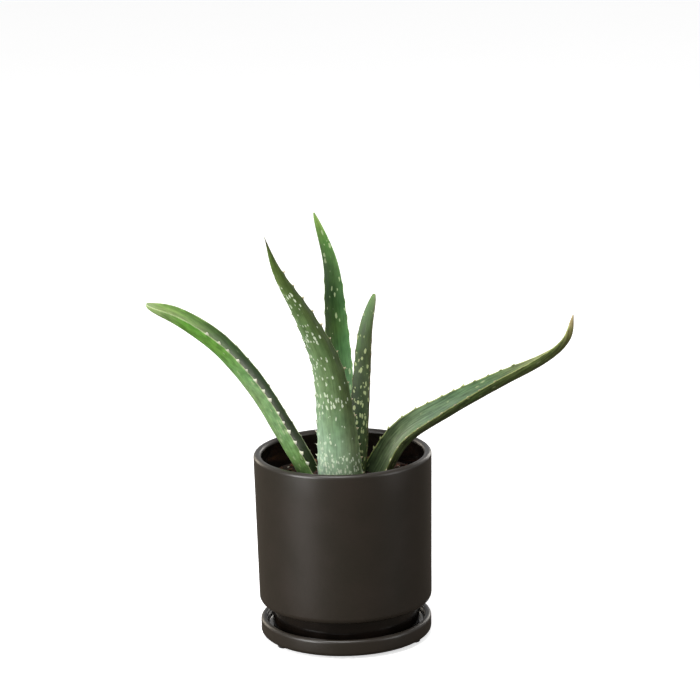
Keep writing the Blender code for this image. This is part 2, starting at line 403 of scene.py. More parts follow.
@dataclass(frozen=True)
class PadRubber:
    """Black rubber with a fine moulded grain and a little dust."""

    name: str = "black_pad_rubber"
    tone: str = "#1d1c1b"

    def build(self) -> bpy.types.Material:
        """Make the material."""
        board = NodeBoard(self.name)
        place = board.place()
        grain = board.noise(place, 2600.0, 3.0, 0.6)
        dust = board.noise(place, 300.0, 4.0, 0.6)
        colour = board.mix(board.spread(dust, 0.45, 0.85), linear(self.tone), linear("#37342f"))
        board.set(Base_Color=colour, Roughness=board.spread(grain, 0.2, 0.8, 0.68, 0.84))
        board.bump(grain, 0.25, 0.0002)
        return board.material


@dataclass(frozen=True)
class CrumbFinish:
    """Damp, crumbly peat: dark grains with lighter fibres between them."""

    name: str = "damp_peat_crumb"
    dark: str = "#1a100a"
    light: str = "#3d2a1c"

    def build(self) -> bpy.types.Material:
        """Make the material."""
        board = NodeBoard(self.name)
        place = board.place()
        grain = board.noise(place, 700.0, 6.0, 0.7)
        lump, chance, _ = board.cells(place, 420.0, False)
        colour = board.mix(board.spread(grain, 0.42, 0.72), linear(self.dark),
                           linear(self.light))
        colour = board.mix(board.spread(chance, 0.80, 0.95, 0.0, 0.55), colour,
                           linear("#54351f"))
        board.set(Base_Color=colour, Roughness=board.spread(lump, 0.0, 0.6, 0.78, 0.96))
        board.bump(board.math("ADD", grain, board.spread(lump, 0.5, 0.0)), 0.7, 0.0009)
        return board.material


@dataclass(frozen=True)
class BitFinish:
    """Loose bits on the potting mix, tinted bit by bit by the mesh."""

    name: str
    grain_scale: float
    grain_depth: float
    roughness: float

    def build(self) -> bpy.types.Material:
        """Make the material."""
        board = NodeBoard(self.name)
        place = board.place()
        tint = board.attribute("tone", "Color")
        grain = board.noise(board.stretch(place, (1.0, 2.6, 1.7)), self.grain_scale, 5.0, 0.65)
        colour = board.shade(tint, 0.5, 1.0, board.spread(grain, 0.25, 0.75, 0.62, 1.3))
        board.set(Base_Color=colour,
                  Roughness=board.spread(grain, 0.2, 0.8, self.roughness - 0.08,
                                         self.roughness + 0.06))
        board.bump(grain, 0.6, self.grain_depth)
        return board.material


@dataclass(frozen=True)
class StemFibre:
    """Pale, fibrous stem bark with brown scars."""

    name: str = "pale_stem_fibre"

    def build(self) -> bpy.types.Material:
        """Make the material."""
        board = NodeBoard(self.name)
        place = board.place()
        fibre = board.noise(board.stretch(place, (1.0, 1.0, 0.12)), 900.0, 4.0, 0.6)
        scar = board.noise(board.stretch(place, (1.0, 1.0, 5.0)), 60.0, 3.0)
        colour = board.mix(board.spread(fibre, 0.3, 0.7), linear("#7d6c4a"), linear("#b3a47a"))
        colour = board.mix(board.spread(scar, 0.55, 0.7, 0.0, 0.7), colour, linear("#513a22"))
        board.set(Base_Color=colour, Roughness=board.spread(fibre, 0.2, 0.8, 0.65, 0.85))
        board.bump(fibre, 0.5, 0.0005)
        return board.material


@dataclass(frozen=True)
class AloeSkin:
    """Waxy aloe skin: mottled green with lengthwise lines, pale spots and a pale margin.

    The mesh carries "tone" (the skin's broad colour, in places with painted shade and light),
    "skin" (place across and along the leaf in metres) and "marks" (share of spots, distance from
    the margin, dryness).
    """

    name: str
    spot_tone: str = "#c2cfaa"
    spot_strength: float = 0.72
    spot_width: float = 0.0021
    spot_length: float = 0.0058
    margin_tone: str = "#aab47f"
    margin_width: float = 0.00055
    margin_strength: float = 0.6
    dry_tone: str = "#a3946a"
    line_strength: float = 0.18
    line_pitch: float = 0.0011
    mottle_strength: float = 0.19
    roughness: float = 0.40
    specular: float = 0.32

    def spots(self, board: NodeBoard, skin: Any, share: Any) -> bpy.types.NodeSocket:
        """Pale oval spots, lengthwise, in loose groups across the leaf.

        Args:
            board: The material in the making.
            skin: Socket of the place on the skin.
            share: Socket of the share of cells that hold a spot.

        Returns:
            Socket that is 1 in a spot and 0 outside.
        """
        wobble = board.noise(skin, 420.0, 2.0)
        shifted = self.wobbled(board, skin, wobble)
        cell = board.stretch(shifted, (1 / self.spot_width, 1 / self.spot_length, 0.0))
        distance, chance, size = board.cells(cell, 1.0, True)
        band = board.noise(board.stretch(skin, (22.0, 95.0, 40.0)), 1.0, 2.0)
        wanted = board.math("MULTIPLY", share, board.spread(band, 0.34, 0.60, 0.25, 1.35))
        present = board.spread(board.math("SUBTRACT", wanted, chance), 0.0, 0.05)
        radius = board.spread(size, 0.0, 1.0, 0.22, 0.46)
        inside = board.spread(board.math("SUBTRACT", radius, distance), 0.0, 0.14)
        return board.math("MULTIPLY", present, inside)

    def wobbled(self, board: NodeBoard, skin: Any, wobble: Any) -> bpy.types.NodeSocket:
        """Shift the place on the skin a little, so that no spot is a perfect oval."""
        node = board.nodes.new("ShaderNodeVectorMath")
        node.operation = "MULTIPLY_ADD"
        board.feed(node.inputs[0], wobble)
        node.inputs[1].default_value = (0.0014, 0.0022, 0.0)
        board.feed(node.inputs[2], skin)
        return node.outputs[0]

    def build(self) -> bpy.types.Material:
        """Make the material."""
        board = NodeBoard(self.name)
        skin = board.attribute("skin", "Vector")
        marks = board.nodes.new("ShaderNodeSeparateXYZ")
        board.links.new(board.attribute("marks", "Vector"), marks.inputs[0])
        share, edge, dry = marks.outputs
        lines = board.noise(board.stretch(skin, (1 / self.line_pitch, 45.0, 900.0)), 1.0,
                            3.0, 0.6)
        mottle = board.noise(board.stretch(skin, (260.0, 110.0, 200.0)), 1.0, 4.0, 0.6)
        grain = board.noise(skin, 2600.0, 2.0, 0.6)
        cloud = board.noise(board.stretch(skin, (60.0, 26.0, 50.0)), 1.0, 2.0)
        spot = self.spots(board, skin, share)

        value = board.math("ADD", board.spread(lines, 0.25, 0.75, -self.line_strength,
                                               self.line_strength),
                           board.spread(mottle, 0.25, 0.75, 1.0 - self.mottle_strength,
                                        1.0 + self.mottle_strength))
        hue = board.spread(cloud, 0.3, 0.7, 0.488, 0.512)
        colour = board.shade(board.attribute("tone", "Color"), hue, 1.0, value)
        colour = board.mix(board.math("MULTIPLY", spot, self.spot_strength), colour,
                           linear(self.spot_tone))
        rim_width = board.spread(mottle, 0.3, 0.7, self.margin_width * 0.6,
                                 self.margin_width * 1.4)
        rim = board.spread(edge, rim_width, board.math("MULTIPLY", rim_width, 0.35))
        colour = board.mix(board.math("MULTIPLY", rim, self.margin_strength), colour,
                           linear(self.margin_tone))
        streak = board.noise(board.stretch(skin, (700.0, 60.0, 300.0)), 1.0, 4.0, 0.65)
        withered = board.spread(board.math("ADD", dry, board.math("MULTIPLY", streak, 0.5)),
                                0.55, 0.95)
        husk = board.shade(linear(self.dry_tone), 0.5, 1.0,
                           board.spread(streak, 0.3, 0.7, 0.72, 1.22))
        colour = board.mix(withered, colour, husk)

        rough = board.math("ADD", board.spread(mottle, 0.2, 0.8, self.roughness - 0.05,
                                               self.roughness + 0.07),
                           board.math("MULTIPLY", withered, 0.25))
        board.set(Base_Color=colour, Roughness=rough, IOR=1.45,
                  Specular_IOR_Level=self.specular, Subsurface_Weight=0.10,
                  Subsurface_Radius=(0.5, 0.9, 0.25), Subsurface_Scale=0.003)
        height = board.math("ADD", board.math("MULTIPLY", lines, 0.55),
                            board.math("MULTIPLY", grain, 0.25))
        height = board.math("ADD", height, board.math("MULTIPLY", spot, 0.35))
        height = board.math("ADD", height, board.math("MULTIPLY", mottle, 0.5))
        board.bump(height, 0.30, 0.0004)
        return board.material


@dataclass(frozen=True)
class FloorPlaster:
    """Pale, faintly uneven studio floor."""

    name: str = "pale_floor"
    tone: str = "#f4f4f4"
    mirrored_tone: str = "#4d4439"
    glow: float = 0.62

    def build(self) -> bpy.types.Material:
        """Make the material."""
        board = NodeBoard(self.name)
        cloud = board.noise(board.place(), 3.0, 3.0)
        value = board.spread(cloud, 0.2, 0.8, 0.985, 1.0)
        seen = board.nodes.new("ShaderNodeLightPath").outputs["Is Camera Ray"]
        pale = board.shade(linear(self.tone), 0.5, 1.0, value)
        board.set(Base_Color=board.mix(seen, linear(self.mirrored_tone), pale), Roughness=0.9,
                  Emission_Color=(1.0, 1.0, 1.0, 1.0),
                  Emission_Strength=board.math("MULTIPLY", seen, self.glow))
        return board.material


# ---------------------------------------------------------------------------------------
# Turned pot and saucer


class Glaze(Enum):
    """Which finish a run of a turned profile carries, as its material slot."""

    MATTE = 0
    GLOSS = 1
    BARE = 2


@dataclass(frozen=True)
class ProfileRun:
    """Points of a turned profile that share one finish up to the next run."""

    glaze: Glaze
    points: Profile


@dataclass
class TurnedWare:
    """Ceramic turned about the pot's axis."""

    name: str
    segments: int = 224
    crease: float = 38.0

    def turn(self, runs: list[ProfileRun], closed: bool) -> bpy.types.Object:
        """Turn runs of a profile into one body.

        Args:
            runs: The profile in order, run by run.
            closed: True where the profile's end joins its start.

        Returns:
            The new object, standing at the frame's origin.
        """
        shape = bmesh.new()
        rings, slots = [], []
        for run in runs:
            for radius, height in run.points:
                rings.append(self.ring(shape, radius, height))
                slots.append(run.glaze.value)
        pairs = list(zip(rings, rings[1:], slots))
        if closed:
            pairs.append((rings[-1], rings[0], slots[-1]))
        for inner, outer, slot in pairs:
            self.band(shape, inner, outer, slot)
        bmesh.ops.recalc_face_normals(shape, faces=shape.faces)
        mesh = mesh_from(self.name, shape)
        mesh.shade_smooth()
        mesh.set_sharp_from_angle(angle=math.radians(self.crease))
        return stood(self.name, mesh)

    def ring(self, shape: bmesh.types.BMesh, radius: float,
             height: float) -> list[bmesh.types.BMVert]:
        """Vertices of one ring, or a single one on the axis."""
        if radius <= 0.0:
            return [shape.verts.new((*POT_AXIS, height))]
        return [shape.verts.new((POT_AXIS[0] + across, POT_AXIS[1] + depth, height))
                for across, depth in around(self.segments, radius)]

    def band(self, shape: bmesh.types.BMesh, first: list, second: list, slot: int) -> None:
        """Faces between two rings."""
        if len(first) == 1 and len(second) == 1:
            return
        for index in range(self.segments):
            following = (index + 1) % self.segments
            if len(first) == 1:
                corners = (first[0], second[following], second[index])
            elif len(second) == 1:
                corners = (first[index], first[following], second[0])
            else:
                corners = (first[index], first[following], second[following], second[index])
            shape.faces.new(corners).material_index = slot


@dataclass
class CeramicPot(TurnedWare):
    """Straight-sided pot with a rounded lip, on a narrower glazed foot."""

    name: str = "glazed_pot"
    base_radius: float = 0.0634
    body_bottom: float = 0.0264
    wall: float = 0.0056
    lower_corner: float = 0.0049
    foot_radius: float = 0.0540
    foot_edge: float = 0.0015
    foot_ring: float = 0.0060
    foot_recess: float = 0.0030
    floor_top: float = 0.0170
    inner_corner: float = 0.0090
    drain_radius: float = 0.0065
    arc_steps: int = 9
    waist_steps: int = 6

    def runs(self) -> list[ProfileRun]:
        """The pot's outline, from the inner lip round the outside and back up inside.

        Returns:
            Its runs, each with its own glaze.
        """
        low, high = POT_LOW, POT_HIGH
        rim = (high.x - low.x) / 2
        lip = self.wall / 2
        inner = rim - self.wall
        recess = low.z + self.foot_recess
        steps = self.arc_steps
        body = arc((rim - lip, high.z - lip), lip, 180, 0, 2 * steps)
        for index in range(1, self.waist_steps):
            share = index / self.waist_steps
            height = (high.z - lip) * (1 - share) + (self.body_bottom + self.lower_corner) * share
            body.append((rim + (self.base_radius - rim) * share, height))
        corner = (self.base_radius - self.lower_corner, self.body_bottom + self.lower_corner)
        body += arc(corner, self.lower_corner, 0, -90, steps)
        foot = arc((self.foot_radius + self.foot_edge, self.body_bottom - self.foot_edge),
                   self.foot_edge, 90, 180, steps)
        foot += arc((self.foot_radius - self.foot_edge, low.z + self.foot_edge),
                    self.foot_edge, 0, -75, steps)
        ring = [(self.foot_radius - self.foot_edge, low.z),
                (self.foot_radius - self.foot_ring, low.z)]
        under = [(self.foot_radius - self.foot_ring - self.foot_recess, recess),
                 (self.drain_radius, recess), (self.drain_radius, self.floor_top)]
        foot_inner = self.foot_radius - self.wall
        inside = arc((foot_inner - self.inner_corner, self.floor_top + self.inner_corner),
                     self.inner_corner, -90, 0, steps)
        inside.append((foot_inner, self.body_bottom + self.wall))
        inside += arc((inner - self.inner_corner,
                       self.body_bottom + self.wall + self.inner_corner),
                      self.inner_corner, -90, 0, steps)
        return [ProfileRun(Glaze.MATTE, body), ProfileRun(Glaze.GLOSS, foot),
                ProfileRun(Glaze.BARE, ring), ProfileRun(Glaze.GLOSS, under + inside)]

    def build(self, finishes: list[bpy.types.Material]) -> bpy.types.Object:
        """Build the pot in place of its CAD node."""
        item = self.turn(self.runs(), closed=True)
        for finish in finishes:
            item.data.materials.append(finish)
        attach(item, ROOT_BODY)
        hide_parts("pot")
        return item


@dataclass
class GlazedSaucer(TurnedWare):
    """Round saucer: upright wall, rounded rim, glossy inside."""

    name: str = "glazed_saucer"
    wall: float = 0.0048
    floor_top: float = 0.0072
    lower_corner: float = 0.0032
    inner_corner: float = 0.0026
    rim_wrap: float = 150.0
    arc_steps: int = 8

    def runs(self) -> list[ProfileRun]:
        """The saucer's outline, from the middle of its floor out and under.

        Returns:
            Its runs, each with its own glaze.
        """
        low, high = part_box("saucer")
        radius = (high.x - low.x) / 2
        lip = self.wall / 2
        rim = (radius - lip, high.z - lip)
        inner = radius - self.wall
        steps = self.arc_steps
        inside = [(0.0, self.floor_top), (0.5 * inner, self.floor_top)]
        inside += arc((inner - self.inner_corner, self.floor_top + self.inner_corner),
                      self.inner_corner, -90, 0, steps)
        inside += arc(rim, lip, 180, self.rim_wrap, steps // 2)[:-1]
        outside = arc(rim, lip, self.rim_wrap, 0, 2 * steps)
        outside += arc((radius - self.lower_corner, low.z + self.lower_corner),
                       self.lower_corner, 0, -90, steps)
        outside += [(0.5 * inner, low.z), (0.0, low.z)]
        return [ProfileRun(Glaze.GLOSS, inside), ProfileRun(Glaze.MATTE, outside)]

    def build(self, finishes: list[bpy.types.Material]) -> bpy.types.Object:
        """Build the saucer in place of its CAD node."""
        item = self.turn(self.runs(), closed=False)
        for finish in finishes:
            item.data.materials.append(finish)
        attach(item, ROOT_BODY)
        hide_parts("saucer")
        return item


@dataclass
class KeptNodes:
    """CAD pieces whose shape is right as packed and that only get their finish."""

    names: tuple[str, ...]

    def dress(self, material: bpy.types.Material) -> None:
        """Give each piece's material slots the finish."""
        for name in self.names:
            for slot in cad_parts[name].material_slots:
                slot.material = material


# ---------------------------------------------------------------------------------------
# Leaves


class Side(Enum):
    """The two sides of a leaf."""

    BACK = 0
    INNER = 1


class Margin(Enum):
    """The two margins of a leaf, by their sign along its side axis."""

    PLUS = 1.0
    MINUS = -1.0


@dataclass(frozen=True)
class ToneBand:
    """Skin colours across a leaf at one place along it, in places with painted shade and light,
    and its share of pale spots.
    """

    at: float
    minus: str
    middle: str
    plus: str
    spots: float = 0.0
    dry: float = 0.0


@dataclass(frozen=True)
class TeethRow:
    """Small horny teeth along a margin, measured in metres from the leaf's base."""

    margin: Margin
    first: float
    last: float
    pitch: float
    height: float = 0.0015
    tone: str = "#d8cfae"
    lift: float = 0.15


@dataclass(frozen=True)
class LeafShape:
    """Spine points about the pot's axis, widths, and the way that the inner face looks."""

    spine: tuple[tuple[float, float, float], ...]
    width: float
    fullness: float
    taper: float
    depth: float
    channel: float
    face_at_base: tuple[float, float, float]
    face_at_tip: tuple[float, float, float]


@dataclass(frozen=True)
class Station:
    """A cross-section's axes and half sizes at one place on the spine."""

    centre: Vector
    along: Vector
    side: Vector
    out: Vector
    half: float
    depth: float
    channel: float


@dataclass
class SkinMesh:
    """Vertices, faces and the skin data of every face corner."""

    points: list[Vector] = field(default_factory=list)
    faces: list[tuple[int, ...]] = field(default_factory=list)
    tones: list[float] = field(default_factory=list)
    skins: list[float] = field(default_factory=list)
    marks: list[float] = field(default_factory=list)

    def add_face(self, corners: list[tuple[int, tuple, tuple, tuple]]) -> None:
        """Add a face from its corners, each a vertex number, tone, skin place and marks."""
        self.faces.append(tuple(corner[0] for corner in corners))
        for _, tone, skin, marks in corners:
            self.tones.extend(tone)
            self.skins.extend(skin)
            self.marks.extend(marks)

    def keep_inside(self, box: tuple) -> None:
        """Hold every point inside a box, given as its low and high corners."""
        low, high = box
        for point in self.points:
            for axis in range(3):
                point[axis] = min(max(point[axis], low[axis]), high[axis])

    def build(self, name: str) -> bpy.types.Object:
        """Turn the lists into an object.

        Args:
            name: Name of the object.

        Returns:
            The object, with "tone", "skin" and "marks" on its face corners.
        """
        mesh = bpy.data.meshes.new(name)
        mesh.from_pydata([tuple(point) for point in self.points], [], self.faces)
        tone = mesh.attributes.new("tone", "FLOAT_COLOR", "CORNER")
        tone.data.foreach_set("color", self.tones)
        skin = mesh.attributes.new("skin", "FLOAT_VECTOR", "CORNER")
        skin.data.foreach_set("vector", self.skins)
        marks = mesh.attributes.new("marks", "FLOAT_VECTOR", "CORNER")
        marks.data.foreach_set("vector", self.marks)
        mesh.validate()
        mesh.shade_smooth()
        mesh.set_sharp_from_angle(angle=math.radians(SKIN_CREASE))
        return stood(name, mesh)


@dataclass
class AloeLeaf:
    """One fleshy leaf: a hollowed inner face, a round back, and teeth on its margins."""

    name: str
    node: str
    shape: LeafShape
    skin: AloeSkin
    back_tones: tuple[ToneBand, ...]
    inner_tones: tuple[ToneBand, ...]
    teeth: tuple[TeethRow, ...]
    seed: int
    stations: int = 168
    back_steps: int = 30
    face_steps: int = 20
    tip_position: float = 0.996
    crowding: float = 1.25
    edge_thickness: float = 0.0010
    frame_step: float = 0.5 / 22
    ripple: float = 0.00022
    ripple_pitch: float = 0.013
    swell: float = 0.00055
    swell_reach: float = 0.0022
    tooth_spread: float = 0.80
    tooth_sides: int = 8
    tooth_jitter: float = 0.14
    tooth_heights: tuple[float, float] = (0.75, 1.2)
    margin_sharpness: int = 9
    seed_shift: float = 0.61
    side_shift: float = 0.37
    spot_bias: float = 0.0

    def spine_point(self, position: float) -> Vector:
        """A point of the spine's smooth curve.

        Args:
            position: Place on the spine, from 0 at the base to 1 at the tip.

        Returns:
            The point in the frame, about the pot's axis.
        """
        points = self.shape.spine
        spans = len(points) - 1
        place = position * spans
        index = max(0, min(int(place), spans - 1))
        part = place - index
        start, end = Vector(points[index]), Vector(points[index + 1])
        before = Vector(points[index - 1]) if index > 0 else start * 2 - end
        after = Vector(points[index + 2]) if index + 2 <= spans else end * 2 - start
        leave = (end - before) / 2
        arrive = (after - start) / 2
        cube, square = part ** 3, part ** 2
        point = (start * (2 * cube - 3 * square + 1) + leave * (cube - 2 * square + part)
                 + end * (3 * square - 2 * cube) + arrive * (cube - square))
        return point + Vector((*POT_AXIS, 0.0))

    def station(self, position: float) -> Station:
        """The cross-section at a place on the spine."""
        shape = self.shape
        along = (self.spine_point(position + self.frame_step)
                 - self.spine_point(position - self.frame_step)).normalized()
        face = Vector(shape.face_at_base).lerp(Vector(shape.face_at_tip), position)
        side = along.cross(face).normalized()
        out = side.cross(along).normalized()
        size = (1.0 - max(position, 0.0) ** shape.fullness) ** shape.taper
        return Station(self.spine_point(position), along, side, out, shape.width / 2 * size,
                       shape.depth * size + self.edge_thickness / 2,
                       shape.channel * size - self.edge_thickness / 2)

    def positions(self) -> list[float]:
        """Places of the stations, closer together towards the tip."""
        found = []
        for index in range(self.stations + 1):
            left = 1 - index / self.stations
            found.append(self.tip_position * (1 - left ** self.crowding))
        return found

    def lengths(self, places: list[float]) -> list[float]:
        """Distance from the base along the spine at each place."""
        found = [0.0]
        for first, second in zip(places, places[1:]):
            step = (self.spine_point(second) - self.spine_point(first)).length
            found.append(found[-1] + step)
        return found

    def tooth_places(self, row: TeethRow) -> list[float]:
        """Distances from the base of a row's teeth, a little unevenly spaced."""
        chance = random.Random(self.seed * 31 + int(row.margin.value))
        found, place = [], row.first
        while place < row.last:
            found.append(place)
            place += row.pitch * chance.uniform(1 - self.tooth_jitter, 1 + self.tooth_jitter)
        return found

    def swelling(self, distance: float) -> dict[Margin, float]:
        """How far each margin swells out under its teeth at a distance from the base."""
        found = {margin: 0.0 for margin in Margin}
        for row in self.teeth:
            for place in self.tooth_places(row):
                reach = (distance - place) / self.swell_reach
                if abs(reach) < 3:
                    found[row.margin] += self.swell * math.exp(-reach * reach)
        return found

    def tone_at(self, side: Side, position: float, across: float) -> tuple:
        """Broad skin colour with its painted shade and light, spot share and dryness.

        Args:
            side: Which side of the leaf.
            position: Place on the spine, 0 to 1.
            across: Place across the leaf, -1 to 1.

        Returns:
            The linear colour, the share of spots and the dryness.
        """
        bands = self.back_tones if side is Side.BACK else self.inner_tones
        upper = next((band for band in bands if band.at >= position), bands[-1])
        lower = next((band for band in reversed(bands) if band.at <= position), bands[0])
        span = upper.at - lower.at
        share = (position - lower.at) / span if span > 0 else 0.0
        colours = []
        for band in (lower, upper):
            end = band.plus if across > 0 else band.minus
            colours.append(blended(linear(band.middle), linear(end), eased(abs(across))))
        spots = lower.spots + (upper.spots - lower.spots) * share
        spots *= max(0.0, 1.0 + self.spot_bias * across)
        dry = lower.dry + (upper.dry - lower.dry) * share
        return blended(colours[0], colours[1], share), spots, dry

    def ring(self, station: Station, distance: float) -> tuple[Ring, list]:
        """Points of one cross-section.

        Args:
            station: The cross-section's axes and sizes.
            distance: Distance from the leaf's base.

        Returns:
            The points from the plus margin over the back to the minus margin and back
            across the inner face, and each one's place across the leaf, from 1 to -1.
        """
        swell = self.swelling(distance)
        points, places = [], []
        for index in range(self.back_steps + 1):
            angle = math.pi * index / self.back_steps
            across = math.cos(angle)
            point = station.side * (station.half * across)
            points.append(point - station.out * (station.depth * math.sin(angle)))
            places.append(across)
        for index in range(1, self.face_steps):
            across = -math.cos(math.pi * index / self.face_steps)
            point = station.side * (station.half * across)
            points.append(point - station.out * (station.channel * (1 - across ** 2)))
            places.append(across)
        ring = []
        for point, across in zip(points, places):
            margin = Margin.PLUS if across > 0 else Margin.MINUS
            bulge = across ** self.margin_sharpness * swell[margin]
            point = point + station.side * bulge
            place = station.centre + point
            lift = noise.noise(place / self.ripple_pitch + Vector((self.seed, 0.0, 0.0)))
            size = station.half / (self.shape.width / 2)
            ring.append(place + station.out * (self.ripple * lift * size))
        return ring, places

    def corner(self, side: Side, station: Station, position: float, distance: float,
               step: int) -> tuple[tuple, tuple, tuple]:
        """Skin data of a face corner.

        Args:
            side: Which side of the leaf the face is on.
            station: The cross-section that the corner is in.
            position: Its place on the spine.
            distance: Its distance from the leaf's base.
            step: The corner's step round that side.

        Returns:
            Tone, place on the skin, and marks.
        """
        if side is Side.BACK:
            turn = step / self.back_steps
            across = math.cos(math.pi * turn)
            girth = math.pi * math.sqrt((station.half ** 2 + station.depth ** 2) / 2)
            place = (0.5 - turn) * girth
            edge = min(turn, 1 - turn) * girth
        else:
            across = -math.cos(math.pi * step / self.face_steps)
            place = across * station.half
            edge = (1 - abs(across)) * station.half
        tone, spots, dry = self.tone_at(side, position, across)
        layer = self.seed * self.seed_shift + side.value * self.side_shift
        return tone, (place + layer, distance, layer), (spots, edge, dry)

    def loft(self, mesh: SkinMesh) -> None:
        """Skin the leaf through its cross-sections."""
        places = self.positions()
        distances = self.lengths(places)
        count = self.back_steps + self.face_steps
        stations = [self.station(place) for place in places]
        for station, distance in zip(stations, distances):
            mesh.points.extend(self.ring(station, distance)[0])
        for row in range(self.stations):
            for index in range(count):
                side = Side.BACK if index < self.back_steps else Side.INNER
                step = index if side is Side.BACK else index - self.back_steps
                corners = []
                for up, over in ((0, 0), (0, 1), (1, 1), (1, 0)):
                    level = row + up
                    vertex = level * count + (index + over) % count
                    data = self.corner(side, stations[level], places[level],
                                       distances[level], step + over)
                    corners.append((vertex, *data))
                mesh.add_face(corners[::-1])
        self.close_end(mesh, 0, stations[0], places[0], distances[0], False)
        last = self.stations
        self.close_end(mesh, last, stations[last], places[last], distances[last], True)

    def close_end(self, mesh: SkinMesh, level: int, station: Station, position: float,
                  distance: float, tip: bool) -> None:
        """Close the leaf's base or tip with a fan of faces.

        Args:
            mesh: The leaf in the making.
            level: Number of its first or last cross-section.
            station: That cross-section.
            position: Its place on the spine.
            distance: Its distance from the leaf's base.
            tip: True at the tip.
        """
        count = self.back_steps + self.face_steps
        ring = mesh.points[level * count:(level + 1) * count]
        centre = Vector((0.0, 0.0, 0.0))
        for point in ring:
            centre = centre + point / count
        mesh.points.append(centre)
        data = self.corner(Side.BACK, station, position, distance, self.back_steps // 2)
        for index in range(count):
            first = level * count + index
            second = level * count + (index + 1) % count
            order = (second, first) if tip else (first, second)
            mesh.add_face([(order[0], *data), (order[1], *data),
                           (len(mesh.points) - 1, *data)])

    def add_tooth(self, mesh: SkinMesh, row: TeethRow, position: float, height: float) -> None:
        """Add one small hooked tooth on a margin.

        Args:
            mesh: The leaf in the making.
            row: The row that the tooth belongs to.
            position: Its place on the spine.
            height: How far it stands out.
        """
        station = self.station(position)
        outward = station.side * row.margin.value
        foot = station.centre + outward * (station.half + self.swell * 0.4)
        outward = (outward * self.tooth_spread + station.out * row.lift).normalized()
        base_tone = linear(self.skin.margin_tone)
        horn = linear(row.tone)
        sides, levels = self.tooth_sides, TOOTH_LEVELS
        start = len(mesh.points)
        for rise, girth, _ in levels:
            lean = station.along * (height * TOOTH_LEAN * max(rise, 0.0) ** 2)
            middle = foot + outward * (height * rise) + lean
            for index in range(sides):
                angle = 2 * math.pi * index / sides
                length = height * TOOTH_LENGTH * girth * math.cos(angle)
                breadth = height * TOOTH_BREADTH * girth * math.sin(angle)
                mesh.points.append(middle + station.along * length + station.out * breadth)
        mesh.points.append(foot + outward * (height * TOOTH_POINT[0])
                           + station.along * (height * TOOTH_POINT[1]))
        skin = (0.0, height, self.seed * self.seed_shift)
        marks = (0.0, 0.01, 0.0)
        data = [(blended(base_tone, horn, level[2]), skin, marks) for level in levels]
        for low in range(len(levels) - 1):
            for index in range(sides):
                following = (index + 1) % sides
                corners = []
                for level, turn in ((low, index), (low, following), (low + 1, following),
                                    (low + 1, index)):
                    corners.append((start + level * sides + turn, *data[level]))
                if row.margin is Margin.PLUS:
                    corners.reverse()
                mesh.add_face(corners)
        top = len(levels) - 1
        for index in range(sides):
            following = (index + 1) % sides
            corners = [(start + top * sides + index, *data[top]),
                       (start + top * sides + following, *data[top]),
                       (len(mesh.points) - 1, *data[top])]
            if row.margin is Margin.PLUS:
                corners.reverse()
            mesh.add_face(corners)

    def add_teeth(self, mesh: SkinMesh) -> None:
        """Add every tooth of every row."""
        places = self.positions()
        distances = self.lengths(places)
        chance = random.Random(self.seed)
        for row in self.teeth:
            for distance in self.tooth_places(row):
                position = next((place for place, found in zip(places, distances)
                                 if found >= distance), None)
                if position is not None:
                    height = row.height * chance.uniform(*self.tooth_heights)
                    self.add_tooth(mesh, row, position, height)

    def build(self) -> bpy.types.Object:
        """Build the leaf in place of its CAD node."""
        mesh = SkinMesh()
        self.loft(mesh)
        self.add_teeth(mesh)
        mesh.keep_inside(CAD_BOX)
        item = mesh.build(self.name)
        item.data.materials.append(self.skin.build())
        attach(item, ROOT_BODY)
        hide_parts(self.node)
        return item


# ---------------------------------------------------------------------------------------
# Potting mix


@dataclass(frozen=True)
class BitKind:
    """One kind of loose bit on the potting mix."""

    name: str
    count: int
    length: tuple[float, float]
    width: tuple[float, float]
    thickness: tuple[float, float]
    tones: tuple[str, ...]
    finish: BitFinish
    corners: int = 12
    tilt: float = 0.5
    sink: float = 0.35


